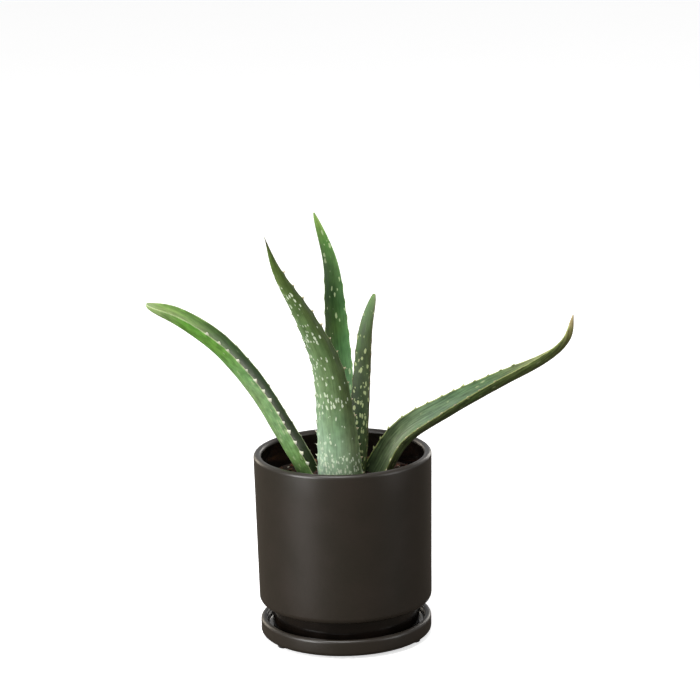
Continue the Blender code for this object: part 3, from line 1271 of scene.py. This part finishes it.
@dataclass
class PottingBed:
    """Crumbly potting mix that fills the pot, with loose bits on its surface."""

    name: str = "potting_mix_bed"
    gap: float = 0.0003
    top: float = 0.1185
    mound: float = 0.0030
    edge_drop: float = 0.0012
    wall: float = 0.0056
    foot_inner: float = 0.0484
    shoulder: float = 0.0410
    inner_corner: float = 0.0090
    mound_reach: float = 1.15
    edge_start: float = 0.85
    settled_start: float = 0.93
    settled_share: float = 0.6
    lump_height: float = 0.00102
    lumps_per_metre: float = 150.0
    crumb_height: float = 0.0007
    crumbs_per_metre: float = 620.0
    bare_edge: float = 0.0012
    shaded_share: float = 0.35
    rings: int = 62
    spokes: int = 168
    side_steps: int = 5
    seed: int = 11

    def inner_radius(self) -> float:
        """Radius of the bed where it meets the pot's wall."""
        return (POT_HIGH.x - POT_LOW.x) / 2 - self.wall - self.gap

    def height(self, across: float, depth: float) -> float:
        """Height of the bed's surface at a place about the pot's axis.

        Args:
            across: Place along X from the axis.
            depth: Place along Y from the axis.

        Returns:
            The height above the floor.
        """
        radius = math.hypot(across, depth) / self.inner_radius()
        level = self.top + self.mound * (1 - eased(radius * self.mound_reach))
        level -= self.edge_drop * eased((radius - self.edge_start) / (1 - self.edge_start))
        spot = Vector((across, depth, self.seed))
        lump = noise.fractal(spot * self.lumps_per_metre, 0.9, 2.0, 3)
        crumb = noise.noise(spot * self.crumbs_per_metre)
        settled = eased((radius - self.settled_start) / (1 - self.settled_start))
        rough = self.lump_height * lump + self.crumb_height * crumb
        return level + rough * (1 - self.settled_share * settled)

    def build(self, finish: bpy.types.Material) -> bpy.types.Object:
        """Build the bed in place of its CAD node.

        Args:
            finish: Material of the crumbs.

        Returns:
            The bed's object.
        """
        axis = POT_AXIS
        outer = self.inner_radius()
        shape = bmesh.new()
        rings = [[shape.verts.new((axis[0], axis[1], self.height(0.0, 0.0)))]]
        for level in range(1, self.rings + 1):
            rings.append([shape.verts.new((axis[0] + across, axis[1] + depth,
                                           self.height(across, depth)))
                          for across, depth in around(self.spokes, outer * level / self.rings)])
        corner = self.inner_corner - self.gap
        low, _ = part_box("potting_mix")
        sides = arc((outer - corner, self.shoulder), corner, 0, -90, self.side_steps)
        sides.append((self.foot_inner - self.gap, self.shoulder - corner))
        sides += arc((self.foot_inner - self.gap - corner, low.z + corner), corner, 0, -90,
                     self.side_steps)
        for radius, height in sides:
            rings.append([shape.verts.new((axis[0] + across, axis[1] + depth, height))
                          for across, depth in around(self.spokes, radius)])
        rings.append([shape.verts.new((axis[0], axis[1], low.z))])
        for first, second in zip(rings, rings[1:]):
            for index in range(self.spokes):
                following = (index + 1) % self.spokes
                corners = []
                for vertex in (first[index % len(first)], first[following % len(first)],
                               second[following % len(second)], second[index % len(second)]):
                    if vertex not in corners:
                        corners.append(vertex)
                shape.faces.new(corners)
        bmesh.ops.recalc_face_normals(shape, faces=shape.faces)
        mesh = mesh_from(self.name, shape)
        mesh.shade_smooth()
        item = stood(self.name, mesh)
        mesh.materials.append(finish)
        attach(item, ROOT_BODY)
        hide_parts("potting_mix")
        return item

    def scatter(self, kind: BitKind, taken: list[tuple[Vector, float]],
                seed: int) -> bpy.types.Object:
        """Strew one kind of loose bit over the bed.

        Args:
            kind: What the bits are like.
            taken: Places about the axis that leaves fill, each with a radius.
            seed: Seed of this kind's random draws.

        Returns:
            All its bits as one object.
        """
        chance = random.Random(seed)
        axis = POT_AXIS
        mesh = SkinMesh()
        reach = self.inner_radius() - self.bare_edge
        made = 0
        while made < kind.count:
            length = chance.uniform(*kind.length)
            size = Vector((length, chance.uniform(*kind.width), chance.uniform(*kind.thickness)))
            radius = (reach - length * 0.5) * math.sqrt(chance.random())
            angle = chance.uniform(0, 2 * math.pi)
            spot = Vector((radius * math.cos(angle), radius * math.sin(angle), 0.0))
            if any((spot.xy - place.xy).length < room for place, room in taken):
                continue
            spot.z = self.height(spot.x, spot.y) + size.z * (0.5 - kind.sink)
            turn = Matrix.Rotation(chance.uniform(0, 2 * math.pi), 3, "Z")
            turn = turn @ Matrix.Rotation(chance.gauss(0, kind.tilt), 3, "X")
            turn = turn @ Matrix.Rotation(chance.gauss(0, kind.tilt * 0.7), 3, "Y")
            tone = linear(chance.choice(kind.tones))
            tone = blended(tone, (0.0, 0.0, 0.0, 1.0), chance.uniform(0.0, self.shaded_share))
            self.add_bit(mesh, kind, spot + Vector((axis[0], axis[1], 0.0)), turn, size, tone,
                         chance)
            made += 1
        item = mesh.build(kind.name)
        item.data.materials.append(kind.finish.build())
        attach(item, ROOT_BODY)
        return item

    def add_bit(self, mesh: SkinMesh, kind: BitKind, spot: Vector, turn: Matrix,
                size: Vector, tone: tuple, chance: random.Random) -> None:
        """Add one angular bit: the hull of a few points in a flattened ball.

        Args:
            mesh: The bits in the making.
            kind: What the bit is like.
            spot: Its middle.
            turn: How it lies.
            size: Its length, width and thickness.
            tone: Its colour.
            chance: Where its random numbers come from.
        """
        shape = bmesh.new()
        for _ in range(kind.corners):
            way = Vector((chance.gauss(0, 1), chance.gauss(0, 1), chance.gauss(0, 1)))
            way = way.normalized() * 0.5 * chance.uniform(0.86, 1.0)
            shape.verts.new(turn @ Vector((way.x * size.x, way.y * size.y, way.z * size.z)))
        hull = bmesh.ops.convex_hull(shape, input=shape.verts)
        loose = [part for part in hull["geom_interior"] if isinstance(part, bmesh.types.BMVert)]
        bmesh.ops.delete(shape, geom=loose, context="VERTS")
        shape.verts.index_update()
        start = len(mesh.points)
        mesh.points.extend(vertex.co + spot for vertex in shape.verts)
        for face in shape.faces:
            mesh.add_face([(start + vertex.index, tone, (0.0, 0.0, 0.0), (0.0, 0.0, 0.0))
                           for vertex in face.verts])
        shape.free()


# ---------------------------------------------------------------------------------------
# Studio


@dataclass(frozen=True)
class SoftBox:
    """A soft rectangular lamp, placed by its angles as seen from the plant."""

    name: str
    turn: float
    rise: float
    distance: float
    width: float
    height: float
    power: float
    tone: tuple[float, float, float] = (1.0, 1.0, 1.0)

    def build(self, target: Vector) -> None:
        """Hang the lamp so that it faces a target.

        Args:
            target: The point that the lamp faces.
        """
        turn, rise = math.radians(self.turn), math.radians(self.rise)
        way = Vector((math.sin(turn) * math.cos(rise), -math.cos(turn) * math.cos(rise),
                      math.sin(rise)))
        lamp = bpy.data.lights.new(self.name, "AREA")
        lamp.shape = "RECTANGLE"
        lamp.size = self.width
        lamp.size_y = self.height
        lamp.energy = self.power
        lamp.color = self.tone
        item = stood(self.name, lamp)
        item.location = target + way * self.distance
        item.rotation_euler = (-way).to_track_quat("-Z", "Y").to_euler()


@dataclass
class Studio:
    """Pale floor, soft lamps and a plain surrounding light."""

    floor_radius: float = 9.0
    floor_sides: int = 96
    ambient_front: float = 0.16
    ambient_back: float = 0.60
    background: float = 1.0
    dim_until: float = -0.5
    bright_from: float = 0.8

    def floor(self) -> None:
        """Lay the floor under the foot pads."""
        shape = bmesh.new()
        bmesh.ops.create_circle(shape, cap_ends=True, segments=self.floor_sides,
                                radius=self.floor_radius)
        mesh = mesh_from("studio_floor", shape)
        mesh.materials.append(FloorPlaster().build())
        item = stood("studio_floor", mesh)
        item.location.z = CAD_BOX[0][2]

    def surround(self) -> None:
        """Light the room: dim in front of the plant, bright behind it."""
        world = bpy.data.worlds.new("studio_surround")
        world.use_nodes = True
        nodes, links = world.node_tree.nodes, world.node_tree.links
        ground = nodes["Background"]
        ground.inputs["Color"].default_value = (1.0, 1.0, 1.0, 1.0)
        way = nodes.new("ShaderNodeTexCoord")
        split = nodes.new("ShaderNodeSeparateXYZ")
        links.new(way.outputs["Generated"], split.inputs[0])
        depth = nodes.new("ShaderNodeMapRange")
        depth.interpolation_type = "SMOOTHSTEP"
        links.new(split.outputs["Y"], depth.inputs["Value"])
        depth.inputs["From Min"].default_value = self.dim_until
        depth.inputs["From Max"].default_value = self.bright_from
        depth.inputs["To Min"].default_value = self.ambient_front
        depth.inputs["To Max"].default_value = self.ambient_back
        path = nodes.new("ShaderNodeLightPath")
        seen = nodes.new("ShaderNodeMix")
        links.new(path.outputs["Is Camera Ray"], seen.inputs[0])
        links.new(depth.outputs[0], seen.inputs[2])
        seen.inputs[3].default_value = self.background
        links.new(seen.outputs[0], ground.inputs["Strength"])
        bpy.context.scene.world = world

    def build(self, lamps: tuple[SoftBox, ...]) -> None:
        """Set the studio up round the plant.

        Args:
            lamps: The soft lamps.
        """
        self.floor()
        self.surround()
        target = Vector((*POT_AXIS, POT_HIGH.z))
        for lamp in lamps:
            lamp.build(target)
        bpy.context.scene.view_settings.view_transform = "Standard"


@dataclass(frozen=True)
class StudioCamera:
    """Long lens, a little above the pot's rim, turned down and slightly rolled."""

    distance: float = 2.0631
    height: float = 0.7348
    aim_height: float = 0.21457
    aside: float = 0.0072
    roll: float = -0.0229
    lens: float = 151.4
    film: float = 36.0
    far_clip: float = 100.0

    def build(self) -> None:
        """Place the camera in front of the pot and make it the scene's own."""
        across = POT_AXIS[0] + self.aside
        place = Vector((across, -self.distance, self.height))
        forward = (Vector((across, 0.0, self.aim_height)) - place).normalized()
        level = forward.cross(Vector((0.0, 0.0, 1.0))).normalized()
        above = level.cross(forward)
        right = level * math.cos(self.roll) + above * math.sin(self.roll)
        up = above * math.cos(self.roll) - level * math.sin(self.roll)
        data = bpy.data.cameras.new("studio_camera")
        data.lens = self.lens
        data.sensor_width = self.film
        data.clip_end = self.far_clip
        item = stood("studio_camera", data)
        axes = Matrix((right, up, -forward)).transposed()
        item.matrix_world = Matrix.Translation(place) @ axes.to_4x4()
        bpy.context.scene.camera = item


# ---------------------------------------------------------------------------------------
# The plant's own leaves, lamps and bits


FRONT_LEAF = AloeLeaf(
    name="aloe_leaf_front", node="leaf_front", seed=3, spot_bias=0.75,
    shape=LeafShape(
        spine=((-0.001, -0.012, 0.104), (-0.0018, -0.017, 0.126), (-0.0038, -0.024, 0.165),
               (-0.0088, -0.032, 0.209), (-0.0232, -0.040, 0.247), (-0.0420, -0.047, 0.283),
               (-0.0510, -0.052, 0.311)),
        width=0.035, fullness=1.6, taper=1.15, depth=0.0110, channel=0.0040,
        face_at_base=(0.10, 1.0, 0.10), face_at_tip=(0.30, 1.0, 0.30)),
    skin=AloeSkin("front_leaf_skin", spot_tone="#d3dfc4", margin_tone="#a7b083",
                  spot_strength=0.85, spot_width=0.0016, spot_length=0.0046,
                  line_strength=0.20),
    # Darker towards the minus margin: partly the skin's olive tone, partly painted shade on the
    # side turned from the key light.
    back_tones=(
        ToneBand(0.00, "#869a78", "#93aa88", "#9ab394", 0.30),
        ToneBand(0.14, "#728563", "#93aa8a", "#a3bca1", 1.40),
        ToneBand(0.23, "#687a58", "#8ba585", "#9fb99e", 1.80),
        ToneBand(0.28, "#62744f", "#839e7e", "#98b297", 0.30),
        ToneBand(0.35, "#556540", "#77936c", "#8ca685", 0.16),
        ToneBand(0.42, "#495931", "#698359", "#7f9b75", 0.40),
        ToneBand(0.56, "#44542c", "#5d784c", "#739067", 0.42),
        ToneBand(0.70, "#414f28", "#566c3e", "#6d8456", 0.30),
        ToneBand(0.82, "#40501f", "#506432", "#667c42", 0.18),
        ToneBand(0.92, "#4b5a28", "#4e6029", "#5d7331", 0.05),
        ToneBand(1.00, "#50462a", "#4c4a28", "#5a5a2e", 0.0, 0.35)),
    inner_tones=(
        ToneBand(0.00, "#7c8f70", "#6f8a66", "#7c8f70", 0.2),
        ToneBand(0.40, "#4c6138", "#44603a", "#4c6138", 0.3),
        ToneBand(0.80, "#47592b", "#41582c", "#4c602f", 0.15),
        ToneBand(1.00, "#504a2a", "#4c4a28", "#5a5a2e", 0.0, 0.35)),
    teeth=(TeethRow(Margin.MINUS, 0.024, 0.190, 0.0112, 0.0017, "#e8d3b8"),
           TeethRow(Margin.PLUS, 0.018, 0.165, 0.0100, 0.0014, "#e6e8d0")))

LEFT_LEAF = AloeLeaf(
    name="aloe_leaf_left", node="leaf_left", seed=5,
    shape=LeafShape(
        spine=((-0.0135, 0.005, 0.104), (-0.0210, 0.001, 0.1265), (-0.0370, -0.007, 0.1593),
               (-0.0565, -0.016, 0.1960), (-0.0825, -0.024, 0.2295), (-0.1115, -0.030, 0.2514),
               (-0.1365, -0.034, 0.2605)),
        width=0.0312, fullness=3.9, taper=0.50, depth=0.0120, channel=0.0045,
        face_at_base=(0.90, -0.10, 0.50), face_at_tip=(0.20, -0.10, 1.0)),
    skin=AloeSkin("left_leaf_skin", spot_tone="#b9cb9a", spot_strength=0.5,
                  margin_tone="#c6d3a4", margin_width=0.0009, margin_strength=0.75,
                  mottle_strength=0.32, specular=0.12),
    back_tones=(
        ToneBand(0.00, "#6f8f5c", "#6f8f5c", "#6f8f5c", 0.35),
        ToneBand(0.25, "#6b9353", "#6b8f52", "#5f8548", 0.40),
        ToneBand(0.38, "#82a972", "#799d5f", "#648a4c", 0.30),
        ToneBand(0.52, "#84a971", "#7a9e5d", "#648b49", 0.20),
        ToneBand(0.66, "#6a9a46", "#70994e", "#5d873f", 0.10),
        ToneBand(0.82, "#68963e", "#6c953e", "#5a8338", 0.05),
        ToneBand(0.92, "#84a263", "#86a46a", "#6f8f50", 0.0),
        ToneBand(1.00, "#90a76c", "#93a872", "#8a9f66", 0.0)),
    # Dark in the middle of the channel, partly painted shade, and brighter towards the tip,
    # partly painted light.
    inner_tones=(
        ToneBand(0.00, "#42522c", "#344426", "#324224", 0.05),
        ToneBand(0.30, "#384a25", "#2c3d1f", "#2d3e20", 0.04),
        ToneBand(0.55, "#3a5022", "#283f18", "#2c461e", 0.03),
        ToneBand(0.68, "#6b8a4c", "#48652d", "#3f5c2a", 0.02),
        ToneBand(0.80, "#80994f", "#7f9b59", "#648740", 0.0),
        ToneBand(0.92, "#7f9a5a", "#7f9758", "#789c50", 0.0),
        ToneBand(1.00, "#93a877", "#93a874", "#98a878", 0.0)),
    teeth=(TeethRow(Margin.MINUS, 0.016, 0.165, 0.0098, 0.0028, "#fffbec", 0.80),
           TeethRow(Margin.PLUS, 0.016, 0.150, 0.0130, 0.0013, "#d6dcb8")))

RIGHT_LEAF = AloeLeaf(
    name="aloe_leaf_right", node="leaf_right", seed=8,
    shape=LeafShape(
        spine=((0.0155, 0.001, 0.104), (0.0235, -0.002, 0.1253), (0.0415, -0.009, 0.1553),
               (0.0745, -0.019, 0.1785), (0.110, -0.030, 0.1997), (0.1425, -0.036, 0.2165),
               (0.1595, -0.039, 0.2300), (0.1655, -0.040, 0.247)),
        width=0.0285, fullness=1.9, taper=0.80, depth=0.0112, channel=0.0045,
        face_at_base=(-0.66, -0.66, 0.62), face_at_tip=(-0.45, 0.50, 0.85)),
    skin=AloeSkin("right_leaf_skin", spot_tone="#a9b585", spot_strength=0.45,
                  margin_tone="#b5bd80", margin_strength=0.85, margin_width=0.0009,
                  line_strength=0.50, line_pitch=0.0013, specular=0.22),
    back_tones=(
        ToneBand(0.00, "#4b5530", "#4d5833", "#4b5530", 0.12),
        ToneBand(0.30, "#505c3a", "#4e5b38", "#4c5636", 0.14),
        ToneBand(0.50, "#4e5d38", "#4b5a35", "#48562f", 0.10),
        ToneBand(0.70, "#5f6b40", "#5b683d", "#566237", 0.05),
        ToneBand(0.84, "#6d6c42", "#676b40", "#5f663c", 0.0, 0.05),
        ToneBand(0.92, "#8d8557", "#7d784c", "#7c774a", 0.0, 0.35),
        ToneBand(1.00, "#b3a87e", "#ada077", "#b0a47a", 0.0, 0.9)),
    inner_tones=(
        ToneBand(0.00, "#434c36", "#4d5c3b", "#4c5c38", 0.04),
        ToneBand(0.22, "#4a593a", "#5e6f50", "#586a42", 0.06),
        ToneBand(0.38, "#506549", "#586c53", "#6a7d5c", 0.06),
        ToneBand(0.55, "#4a603e", "#4a6041", "#5b7044", 0.04),
        ToneBand(0.72, "#74744f", "#66703f", "#788155", 0.0),
        ToneBand(0.84, "#8b7f58", "#736f48", "#757649", 0.0, 0.2),
        ToneBand(0.92, "#a89a70", "#988d62", "#8d835a", 0.0, 0.6),
        ToneBand(1.00, "#b7ac82", "#b0a47a", "#b3a87e", 0.0, 1.0)),
    teeth=(TeethRow(Margin.PLUS, 0.030, 0.150, 0.0112, 0.0020, "#eae2b8", 0.55),
           TeethRow(Margin.MINUS, 0.030, 0.165, 0.0105, 0.0021, "#b9bf8d")))

BACK_LEAF = AloeLeaf(
    name="aloe_leaf_back", node="leaf_back", seed=13,
    shape=LeafShape(
        spine=((-0.002, 0.013, 0.104), (-0.0005, 0.014, 0.140), (0.0, 0.0135, 0.174),
               (-0.0010, 0.016, 0.205), (-0.0028, 0.019, 0.240), (-0.0057, 0.022, 0.275),
               (-0.017, 0.026, 0.312)),
        width=0.0208, fullness=2.5, taper=0.66, depth=0.0080, channel=0.0030,
        face_at_base=(0.0, -1.0, 0.10), face_at_tip=(0.30, -1.0, 0.10)),
    skin=AloeSkin("back_leaf_skin", spot_tone="#b5c796", spot_strength=0.6,
                  margin_tone="#8fa76a", margin_strength=0.4),
    back_tones=(
        ToneBand(0.00, "#6a8a60", "#6a8a60", "#6a8a60", 0.4),
        ToneBand(0.45, "#557646", "#50713f", "#557646", 0.4),
        ToneBand(0.80, "#48693a", "#456436", "#48693a", 0.2),
        ToneBand(0.92, "#5a7e3e", "#577b3c", "#5f8444", 0.1),
        ToneBand(1.00, "#84a05c", "#84a05c", "#8ca862", 0.0)),
    # The minus half of the channel is darker with painted shade, and the plus half lighter with
    # painted light.
    inner_tones=(
        ToneBand(0.00, "#55694a", "#5c7d58", "#6b8f68", 0.2),
        ToneBand(0.42, "#42542f", "#456640", "#5b8054", 0.30),
        ToneBand(0.52, "#465831", "#42643a", "#547a4a", 0.22),
        ToneBand(0.60, "#3b512a", "#3b5729", "#4a6f3d", 0.20),
        ToneBand(0.72, "#2d4620", "#2b421f", "#3d5c34", 0.16),
        ToneBand(0.82, "#3c562f", "#3f5c33", "#507140", 0.14),
        ToneBand(0.90, "#46672d", "#507437", "#5a7f40", 0.55),
        ToneBand(0.95, "#658b44", "#688c44", "#6f934a", 0.25),
        ToneBand(1.00, "#80a058", "#80a058", "#9db172", 0.0)),
    teeth=(TeethRow(Margin.PLUS, 0.020, 0.160, 0.0115, 0.0006, "#a9b98a"),
           TeethRow(Margin.MINUS, 0.026, 0.160, 0.0120, 0.0006, "#a9b98a")))

SHORT_LEAF = AloeLeaf(
    name="aloe_leaf_short", node="leaf_short", seed=21, stations=120,
    shape=LeafShape(
        spine=((0.006, -0.001, 0.104), (0.010, 0.001, 0.130), (0.0128, 0.003, 0.165),
               (0.0156, 0.005, 0.200), (0.0190, 0.006, 0.230), (0.0258, 0.008, 0.2545)),
        width=0.0176, fullness=2.2, taper=0.50, depth=0.0050, channel=0.0015,
        face_at_base=(-0.70, -0.70, 0.10), face_at_tip=(-0.50, -0.80, 0.20)),
    skin=AloeSkin("short_leaf_skin", spot_tone="#aeba85", spot_strength=0.75,
                  spot_width=0.0026, spot_length=0.0048, margin_tone="#6b4f3c",
                  margin_strength=0.35),
    back_tones=(
        ToneBand(0.00, "#50603a", "#4d5e38", "#50603a", 0.4),
        ToneBand(0.60, "#4b5c3a", "#48583a", "#4b5c3a", 0.5),
        ToneBand(1.00, "#6d8848", "#6b8647", "#6a8347", 0.1)),
    inner_tones=(
        ToneBand(0.00, "#364326", "#334024", "#3a4627", 0.35),
        ToneBand(0.30, "#2b3b18", "#303f23", "#495936", 0.40),
        ToneBand(0.44, "#2c3a22", "#2d3c22", "#48543a", 0.75),
        ToneBand(0.56, "#364826", "#334226", "#434f34", 0.55),
        ToneBand(0.68, "#465e2f", "#3a4826", "#3c4626", 0.30),
        ToneBand(0.82, "#4d6a3c", "#466032", "#3d4c28", 0.22),
        ToneBand(0.92, "#567640", "#4c6834", "#41532c", 0.15),
        ToneBand(1.00, "#6d8a48", "#6b8647", "#6a8347", 0.05)),
    teeth=(TeethRow(Margin.PLUS, 0.030, 0.120, 0.0110, 0.0006, "#b7a684"),
           TeethRow(Margin.MINUS, 0.030, 0.120, 0.0110, 0.0006, "#b7b98c")))

LAMPS = (
    SoftBox("overhead_box", -20.0, 68.0, 1.5, 0.8, 0.8, 17.0),
    SoftBox("left_box", -52.0, 12.0, 1.7, 0.80, 1.4, 40.0),
    SoftBox("left_back_box", -140.0, 8.0, 1.8, 0.6, 0.9, 5.5, (1.0, 0.88, 0.70)),
    SoftBox("right_back_box", 150.0, 10.0, 1.8, 0.4, 0.9, 5.0, (1.0, 0.95, 0.88)),
    SoftBox("right_box", 66.0, 14.0, 1.8, 0.6, 1.2, 9.0),
)

BARK = BitKind(
    "bark_chips", 520, (0.0030, 0.0080), (0.0020, 0.0045), (0.0009, 0.0020),
    ("#53301c", "#6a3a20", "#3a2214", "#7d4a2a", "#4a2e1c", "#95683f", "#38220f"),
    BitFinish("bark_chip_bark", 900.0, 0.0006, 0.80))
PERLITE = BitKind(
    "perlite_bits", 46, (0.0012, 0.0030), (0.0012, 0.0026), (0.0011, 0.0022),
    ("#dcd8cd", "#cfcabb", "#b9b2a2"), BitFinish("perlite_foam", 1600.0, 0.0004, 0.88),
    corners=18, tilt=1.0, sink=0.25)
FIBRE = BitKind(
    "wood_fibres", 90, (0.0050, 0.0130), (0.0005, 0.0010), (0.0004, 0.0008),
    ("#6b4a2e", "#8a6a44", "#4c3220", "#a98a5e"), BitFinish("wood_fibre", 1200.0, 0.0003, 0.80),
    corners=14, tilt=0.28, sink=0.0)


def leaf_rooms(leaves: tuple[AloeLeaf, ...], bed: PottingBed) -> list[tuple[Vector, float]]:
    """Where each leaf leaves the potting mix, about the pot's axis, with room round it."""
    axis = POT_AXIS
    rooms = []
    for leaf in leaves:
        for index in range(ROOM_STEPS):
            point = leaf.spine_point(index / STEPS_PER_SPINE)
            if point.z >= bed.top:
                place = Vector((point.x - axis[0], point.y - axis[1], 0.0))
                rooms.append((place, leaf.shape.width * ROOM_PER_WIDTH))
                break
    return rooms


def report(item: bpy.types.Object) -> None:
    """Log a built piece."""
    LOG.info("%s: %d faces", item.name, len(item.data.polygons))


def main() -> None:
    """Build the studio, the pot and its saucer, the potting mix and the leaves."""
    logging.basicConfig(level=logging.INFO, format="%(name)s %(message)s")
    StudioCamera().build()
    Studio().build(LAMPS)
    glazes = [MatteGlaze().build(), GlossGlaze().build(), BareClay().build()]
    for ware in (GlazedSaucer(), CeramicPot()):
        report(ware.build(glazes))
    KeptNodes(("foot_pad_1", "foot_pad_2", "foot_pad_3")).dress(PadRubber().build())
    KeptNodes(("stem",)).dress(StemFibre().build())
    leaves = (FRONT_LEAF, LEFT_LEAF, RIGHT_LEAF, BACK_LEAF, SHORT_LEAF)
    bed = PottingBed()
    report(bed.build(CrumbFinish().build()))
    rooms = leaf_rooms(leaves, bed)
    for number, kind in enumerate((BARK, PERLITE, FIBRE)):
        report(bed.scatter(kind, rooms, BITS_SEED + number))
    for leaf in leaves:
        report(leaf.build())


if __name__ == "__main__":
    main()
